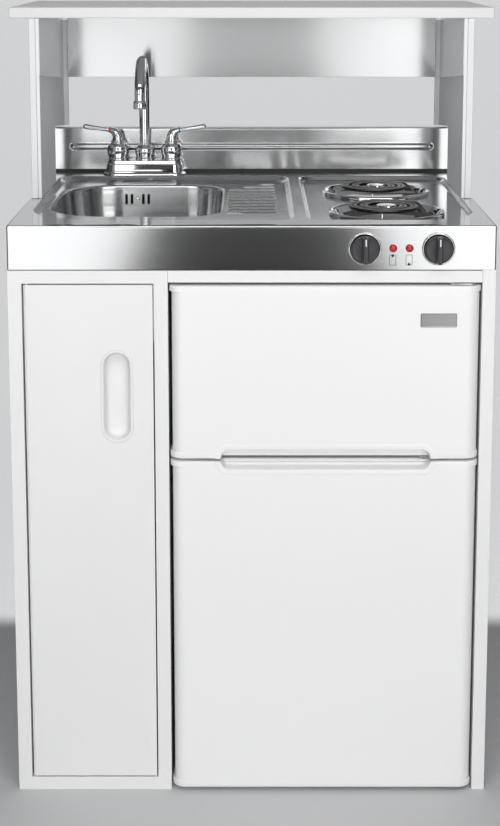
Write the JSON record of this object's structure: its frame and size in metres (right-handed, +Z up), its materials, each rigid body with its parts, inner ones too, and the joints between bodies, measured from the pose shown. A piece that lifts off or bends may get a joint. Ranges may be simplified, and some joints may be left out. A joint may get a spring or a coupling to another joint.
{
  "type": "kitchenette unit with sink and hob",
  "caption": "Compact kitchen unit: steel worktop with sink, tap and coil hob over a sink cupboard and a refrigerator with freezer, with a shelf above.",
  "frame": {"origin": "middle of the bounding box on the floor", "axes": "+Z up, +Y back into the unit, +X to the user's right"},
  "size_m": [0.82, 0.673, 1.264],
  "materials": {
    "brushed_steel": "brushed across the unit",
    "white_steel": "satin white enamel",
    "white_plastic": "satin",
    "grey_plastic": "satin",
    "chrome": "polished",
    "black_plastic": "satin",
    "coil_sheath": "oxidised nickel alloy",
    "zinc_steel": "zinc plated",
    "red_lens": "glossy, translucent",
    "clear_glass": "clear",
    "gasket_rubber": "matt",
    "compressor_black": "black paint"
  },
  "bodies": {
    "cabinet": {"worktop": "brushed_steel", "sink_bowl": "brushed_steel", "backsplash": "brushed_steel", "shelf_back_panel": "brushed_steel", "face_frame": "white_steel", "left_side": "white_steel", "partition": "white_steel", "right_side": "white_steel", "cabinet_floor": "white_steel", "back_panel": "white_steel", "fridge_rail": "white_steel", "rear_frame": "white_steel", "fridge_cabinet": "white_steel", "left_side_board": "white_steel", "right_side_board": "white_steel", "top_shelf": "white_steel", "waste_trap": "white_plastic", "thermostat_housing": "white_plastic", "overflow_pipe": "grey_plastic", "left_burner_switch": "grey_plastic", "right_burner_switch": "grey_plastic", "left_side_liner": "grey_plastic", "right_side_liner": "grey_plastic", "drain_body": "chrome", "tap_base": "chrome", "spout_collar": "chrome", "hot_valve_body": "chrome", "cold_valve_body": "chrome", "front_drip_bowl": "chrome", "rear_drip_bowl": "chrome", "door_catch": "black_plastic", "backsplash_seal": "black_plastic", "front_terminal_block": "black_plastic", "rear_terminal_block": "black_plastic", "top_hinge": "zinc_steel", "middle_hinge": "zinc_steel", "bottom_hinge": "zinc_steel", "left_pilot_lamp": "red_lens", "right_pilot_lamp": "red_lens", "fridge_shelf": "clear_glass", "compressor": "compressor_black"},
    "sink_door": {"sink_door": "white_steel", "door_stiffener": "white_steel", "finger_pull": "white_plastic"},
    "freezer_door": {"freezer_door": "white_steel", "freezer_gasket": "gasket_rubber"},
    "fridge_door": {"fridge_door": "white_steel", "fridge_gasket": "gasket_rubber", "door_racks": "white_plastic"},
    "spout": {"spout": "chrome"},
    "hot_lever": {"hot_lever": "chrome"},
    "cold_lever": {"cold_lever": "chrome"},
    "left_knob": {"left_knob": "black_plastic"},
    "right_knob": {"right_knob": "black_plastic"},
    "front_element": {"front_coil": "coil_sheath", "front_coil_support": "chrome"},
    "rear_element": {"rear_coil": "coil_sheath", "rear_coil_support": "chrome"},
    "strainer_basket": {"strainer_basket": "chrome"},
    "thermostat_dial": {"thermostat_dial": "grey_plastic"}
  },
  "joints": [
    {"name": "sink_door_hinge", "type": "hinge", "parent": "cabinet", "child": "sink_door", "pos_m": [-0.3515, -0.3028, 0.434], "axis": [0, 0, 1], "range_deg": [-100, 0]},
    {"name": "freezer_door_hinge", "type": "hinge", "parent": "cabinet", "child": "freezer_door", "pos_m": [0.337, -0.2965, 0.7045], "axis": [0, 0, 1], "range_deg": [0, 95]},
    {"name": "fridge_door_hinge", "type": "hinge", "parent": "cabinet", "child": "fridge_door", "pos_m": [0.337, -0.2965, 0.2845], "axis": [0, 0, 1], "range_deg": [0, 95]},
    {"name": "spout_swivel", "type": "hinge", "parent": "cabinet", "child": "spout", "pos_m": [-0.203, 0.2815, 1], "axis": [0, 0, 1], "range_deg": [-90, 90]},
    {"name": "hot_lever_turn", "type": "hinge", "parent": "cabinet", "child": "hot_lever", "pos_m": [-0.2538, 0.2815, 1], "axis": [0, 0, 1], "range_deg": [0, 90]},
    {"name": "cold_lever_turn", "type": "hinge", "parent": "cabinet", "child": "cold_lever", "pos_m": [-0.1522, 0.2815, 1], "axis": [0, 0, 1], "range_deg": [-90, 0]},
    {"name": "left_knob_turn", "type": "hinge", "parent": "cabinet", "child": "left_knob", "pos_m": [0.176, -0.3085, 0.9015], "axis": [0, 1, 0], "continuous": true},
    {"name": "right_knob_turn", "type": "hinge", "parent": "cabinet", "child": "right_knob", "pos_m": [0.2905, -0.3085, 0.9015], "axis": [0, 1, 0], "continuous": true},
    {"name": "front_element_tilt", "type": "hinge", "parent": "cabinet", "child": "front_element", "pos_m": [0.3328, -0.1696, 0.924], "axis": [0.7071, 0.7071, 0], "range_deg": [0, 18]},
    {"name": "rear_element_tilt", "type": "hinge", "parent": "cabinet", "child": "rear_element", "pos_m": [0.3328, 0.0629, 0.924], "axis": [0.7071, 0.7071, 0], "range_deg": [0, 18]},
    {"name": "strainer_lift", "type": "slide", "parent": "cabinet", "child": "strainer_basket", "axis": [0, 0, 1], "range_m": [0, 0.12]},
    {"name": "thermostat_turn", "type": "hinge", "parent": "cabinet", "child": "thermostat_dial", "pos_m": [0.3, -0.1585, 0.49], "axis": [1, 0, 0], "range_deg": [0, 270]}
  ]
}
